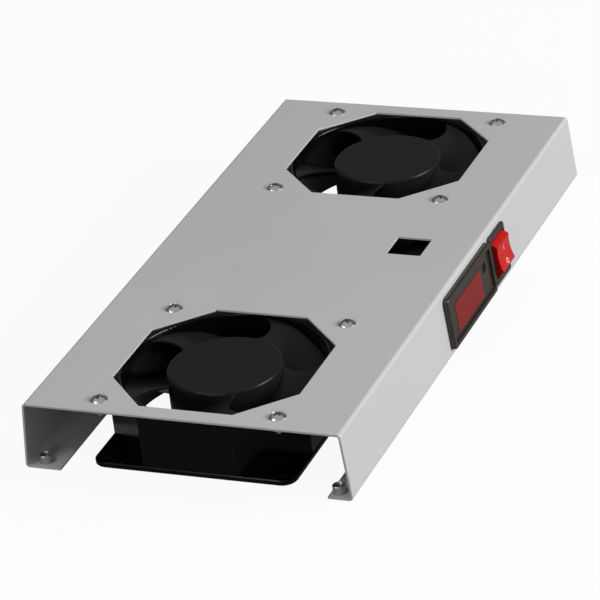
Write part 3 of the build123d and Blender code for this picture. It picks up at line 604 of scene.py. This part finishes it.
def screw_head():
    """Truss head with a rounded rim and a tapered cross recess; its seat is at zero."""
    crown = (HEAD_RADIUS ** 2 + HEAD_HEIGHT ** 2) / (2 * HEAD_HEIGHT)
    rim = 90 - asin((HEAD_RADIUS - HEAD_RIM) / (crown - HEAD_RIM)) * 180 / pi
    centre = (0, HEAD_HEIGHT - crown)
    rim_centre = arc(centre, crown - HEAD_RIM, 90, rim, 1)[1]
    profile = arc(centre, crown, 90, rim, CROWN_STEPS)[:-1]
    profile += arc(rim_centre, HEAD_RIM, rim, -90, RIM_STEPS) + [(SCREW_SHANK, 0)]
    profile = [(radius, max(height, 0)) for radius, height in profile]
    profile[0] = (0, HEAD_HEIGHT)
    head = lathe(profile + [(0, 0)], HEAD_STEPS)
    for half in (RECESS_WIDTH / 2, RECESS_SPAN / 2):
        for normal in ((1, 0, 0), (-1, 0, 0), (0, 1, 0), (0, -1, 0)):
            cut_across(head, normal, half)
    cross = []
    for face in head.faces:
        middle = face.calc_center_median() / MM
        across, along = sorted((abs(middle.x), abs(middle.y)))
        on_crown = middle.z > HEAD_HEIGHT / 4
        if on_crown and along < RECESS_SPAN / 2 and across < RECESS_WIDTH / 2:
            cross.append(face)
    sunk = bmesh.ops.extrude_face_region(head, geom=cross)["geom"]
    bmesh.ops.delete(head, geom=cross, context="FACES")  # the lid that the extrusion leaves
    for vert in sunk:
        if isinstance(vert, bmesh.types.BMVert):
            x, y = vert.co.x * RECESS_TAPER, vert.co.y * RECESS_TAPER
            vert.co = (x, y, (HEAD_HEIGHT - RECESS_DEPTH) * MM)
    bmesh.ops.remove_doubles(head, verts=head.verts, dist=MERGE)
    return head


def stud(crest, root, pitch, length):
    """Core with a chamfered end and thread of a stud, from zero down."""
    chamfer = crest - root
    tip = -length + chamfer
    core = [(0, -length), (root - chamfer, -length), (root, tip), (root, 0), (0, 0)]
    return lathe(core, 20), thread(crest, root, pitch, tip, 0)


def hex_nut(flats, height, bore):
    """Turned nut with 30 degree chamfers and bevelled bore, standing on zero."""
    corner = flats / 2 / cos(radians(30)) * NUT_CORNER_SHARE
    face = flats / 2 * NUT_FACE_SHARE
    fall = (corner - face) * tan(radians(30))
    mouth = bore + NUT_LEAD
    profile = [
        (mouth, 0), (bore, NUT_LEAD), (bore, height - NUT_LEAD), (mouth, height),
        (face, height), (corner, height - fall), (corner, fall), (face, 0),
    ]
    nut = lathe(profile, 72, ring=True)
    for turn in range(6):
        angle = radians(60 * turn)
        edges = cut_across(nut, (cos(angle), sin(angle), 0), flats / 2, clear=True)
        bmesh.ops.edgeloop_fill(nut, edges=edges)
    return nut


def bush():
    """Clinched bush with chamfered ends and an internal thread, standing on zero."""
    top = SHEET + BUSH_HEIGHT
    shoulder = top - BUSH_LEAD
    mouth = BUSH_ROOT + BUSH_LEAD
    profile = [
        (mouth, 0), (BUSH_SPIGOT, 0), (BUSH_SPIGOT, SHEET), (BUSH_RADIUS, SHEET),
        (BUSH_RADIUS, shoulder), (BUSH_RADIUS - BUSH_LEAD, top), (mouth, top),
        (BUSH_ROOT, shoulder), (BUSH_ROOT, BUSH_LEAD),
    ]
    ridge = thread(BUSH_CREST, BUSH_ROOT, BUSH_PITCH, 0, top)
    return joined([(lathe(profile, ring=True), [Matrix()]), (ridge, [Matrix()])])


def toothed_washer():
    """Shakeproof washer: a flat ring with teeth twisted out of its rim."""
    inner, rim = SCREW_SHANK + WASHER_PLAY, WASHER_RADIUS - TOOTH_LENGTH
    sheet = WASHER_THICKNESS / 2
    washer = lathe([(inner, 0), (rim, 0), (rim, sheet), (inner, sheet)], ring=True)
    tooth = bmesh.new()
    bmesh.ops.create_cube(tooth, size=1)
    sides = [edge for edge in tooth.edges if abs(edge.verts[0].co.x - edge.verts[1].co.x) < 0.5]
    bmesh.ops.bevel(
        tooth, geom=sides, offset=TOOTH_BEVEL, segments=2, profile=0.5, affect="EDGES", material=-1)
    length = WASHER_RADIUS - rim + TOOTH_BITE
    size = Matrix.Diagonal((length * MM, TOOTH_WIDTH * MM, sheet * MM, 1))
    out = Matrix.Translation(((rim + WASHER_RADIUS - TOOTH_BITE) / 2 * MM, 0, sheet * MM))
    twist = Matrix.Rotation(TOOTH_TWIST, 4, "X")
    turns = [Matrix.Rotation(2 * pi * turn / WASHER_TEETH, 4, "Z") for turn in range(WASHER_TEETH)]
    places = [turn @ out @ twist @ size for turn in turns]
    return joined([(washer, [at(0, 0, sheet / 2)]), (tooth, places)])


def on_flange(side, y, out):
    """Place on a leaning flange, with its axis out of the right one or into the left one."""
    normal = Vector((cos(LEAN), 0, side * sin(LEAN)))
    along = Vector((0, 1, 0))
    place = Matrix((along, normal.cross(along), normal)).transposed().to_4x4()
    middle = Vector((side * PANEL_X, y, PANEL_Z)) + normal * (SHEET / 2 + out)
    place.translation = middle * MM
    return place


def corner_spots(node, reach):
    """Middles of the four pieces of a node, each reaching so far to the corners of its box."""
    low, high = (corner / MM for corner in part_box(node))
    columns = (low.x + reach, high.x - reach)
    rows = (low.y + reach, high.y - reach)
    return [(x, y) for x in columns for y in rows]


def on_outline(place):
    """Whether a point, measured from the fan's middle, lies on its flanges' rounded square."""
    across, along = abs(place.x) / MM, abs(place.y) / MM
    core = FAN_HALF - FAN_CORNER
    if across > core and along > core:
        return abs(((across - core) ** 2 + (along - core) ** 2) ** 0.5 - FAN_CORNER) < OUTLINE_BAND
    return max(across, along) > FAN_HALF - OUTLINE_BAND


def make_fan_frames(materials):
    """Both moulded frames, copied from the solids and given the small bevel round their flanges."""
    for fan in ("near", "far"):
        node = f"{fan}_fan_frame"
        low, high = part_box(node)
        middle = (low + high) / 2
        mesh = bmesh.new()
        mesh.from_mesh(frame["nodes"][node].data)
        bmesh.ops.remove_doubles(mesh, verts=mesh.verts, dist=MERGE_FINE)
        edges = []
        for edge in mesh.edges:
            rises = sorted(abs(face.normal.z) for face in edge.link_faces)
            crease = len(rises) == 2 and rises[0] < 0.01 and rises[1] > 0.99
            if crease and all(on_outline(vert.co - middle) for vert in edge.verts):
                edges.append(edge)
        bmesh.ops.bevel(
            mesh, geom=edges, offset=FLANGE_BEVEL * MM, segments=1, profile=0.5, affect="EDGES",
            material=-1)
        plastic = materials["frame_plastic"]
        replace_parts(place_mesh(f"{node}_bevelled", mesh, plastic, TRAY), node)


def make_fan_fasteners(materials):
    """Screws and nuts of both fans, each screw turned as it came to rest."""
    turns = iter(RECESS_TURNS)
    for fan in ("near", "far"):
        spots = corner_spots(f"{fan}_fan_screws", HEAD_RADIUS)
        places = [at(x, y, PLATE_TOP, next(turns)) for x, y in spots]
        shank = stud(SCREW_SHANK, SCREW_ROOT, SCREW_PITCH, SCREW_LENGTH)
        screws = joined([(part, places) for part in (screw_head(), *shank)])
        zinc = materials["screw_zinc"]
        piece = place_mesh(f"{fan}_fan_screws_threaded", screws, zinc, TRAY)
        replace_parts(piece, f"{fan}_fan_screws")
        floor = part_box(f"{fan}_fan_nuts")[0].z / MM
        places = [at(x, y, floor, 30) for x, y in spots]
        nuts = joined([(hex_nut(NUT_FLATS, NUT_HEIGHT, SCREW_SHANK + NUT_PLAY), places)])
        zinc = materials["zinc_plate"]
        piece = place_mesh(f"{fan}_fan_nuts_chamfered", nuts, zinc, TRAY)
        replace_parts(piece, f"{fan}_fan_nuts")


def make_bushes(materials):
    """Bushes at the lips' ends, with the threads' starts turned differently left and right."""
    spots = corner_spots("threaded_bushes", BUSH_RADIUS)
    bushes = joined([(bush(), [at(x, y, 0, BUSH_TURN * x / abs(x)) for x, y in spots])])
    piece = place_mesh("bushes_threaded", bushes, materials["zinc_plate"], TRAY)
    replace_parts(piece, "threaded_bushes")


def make_left_fasteners(materials):
    """Earth stud, washer and nut, and the strip's studs and nuts, on the left flange."""
    zinc = materials["zinc_plate"]
    earth_stud = stud(SCREW_SHANK, SCREW_ROOT, SCREW_PITCH, EARTH_STUD_LENGTH)
    earth_nut = hex_nut(NUT_FLATS, NUT_HEIGHT, SCREW_SHANK + NUT_PLAY)
    strip_stud = stud(STRIP_STUD, STRIP_STUD_ROOT, STRIP_STUD_PITCH, STRIP_STUD_LENGTH)
    strip_nut = hex_nut(STRIP_NUT_FLATS, STRIP_NUT_HEIGHT, STRIP_STUD + NUT_PLAY)
    low, high = (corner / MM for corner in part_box("supply_strip_studs"))
    rows = (low.y + STRIP_STUD, high.y - STRIP_STUD)
    flats_up = at(0, 0, 0, 30)
    made = (
        ("earth_stud", earth_stud, [on_flange(-1, EARTH_Y, EARTH_STUD_LENGTH)]),
        ("earth_washer", [toothed_washer()], [on_flange(-1, EARTH_Y, 0)]),
        ("earth_nut", [earth_nut], [on_flange(-1, EARTH_Y, WASHER_THICKNESS) @ flats_up]),
        ("supply_strip_studs", strip_stud, [on_flange(-1, y, STRIP_STUD_LENGTH) for y in rows]),
        ("supply_strip_nuts", [strip_nut], [on_flange(-1, y, STRIP_WEB) @ flats_up for y in rows]),
    )
    for node, parts, places in made:
        whole = joined([(part, places) for part in parts])
        piece = place_mesh(f"{node}_detailed", whole, zinc, TRAY)
        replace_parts(piece, node)


def make_marks(ink):
    """On and off marks printed on the rocker, laid on its hollow face."""
    data = frame["nodes"]["switch_rocker"].data
    vertices = [vert.co for vert in data.vertices]
    rocker = BVHTree.FromPolygons(vertices, [face.vertices for face in data.polygons])
    half = MARK_HEIGHT / 2
    inner = half - MARK_STROKE
    circle = lathe([(inner, -1), (half, -1), (half, 1), (inner, 1)], 40, ring=True)
    bar = bmesh.new()
    bmesh.ops.create_cube(bar, size=2 * MM, matrix=Matrix.Diagonal((MARK_STROKE / 2, half, 1, 1)))
    for step in range(-3, 4):  # so that the bar follows the hollow
        cut_across(bar, (0, 1, 0), step * half / 4)
    marks = joined([(circle, [at(0, -MARK_OFFSET, 0)]), (bar, [at(0, MARK_OFFSET, 0)])])
    flange = on_flange(1, SWITCH_Y, 0)
    normal = flange.col[2].xyz
    for vert in marks.verts:
        level = INK_HEIGHT if vert.co.z > 0 else -INK_HEIGHT
        start = flange @ Vector((vert.co.x, vert.co.y, PRINT_REACH * MM))
        vert.co = rocker.ray_cast(start, -normal)[0] + normal * level * MM
    place_mesh("rocker_marks", marks, ink, "rocker")


make_camera()
make_floor()
make_world()
make_lamps()
bpy.context.scene.view_settings.view_transform = "Standard"
MATERIALS = finishes()
dress_nodes(MATERIALS)
make_fan_frames(MATERIALS)
make_fan_fasteners(MATERIALS)
make_bushes(MATERIALS)
make_left_fasteners(MATERIALS)
make_marks(pad_print())
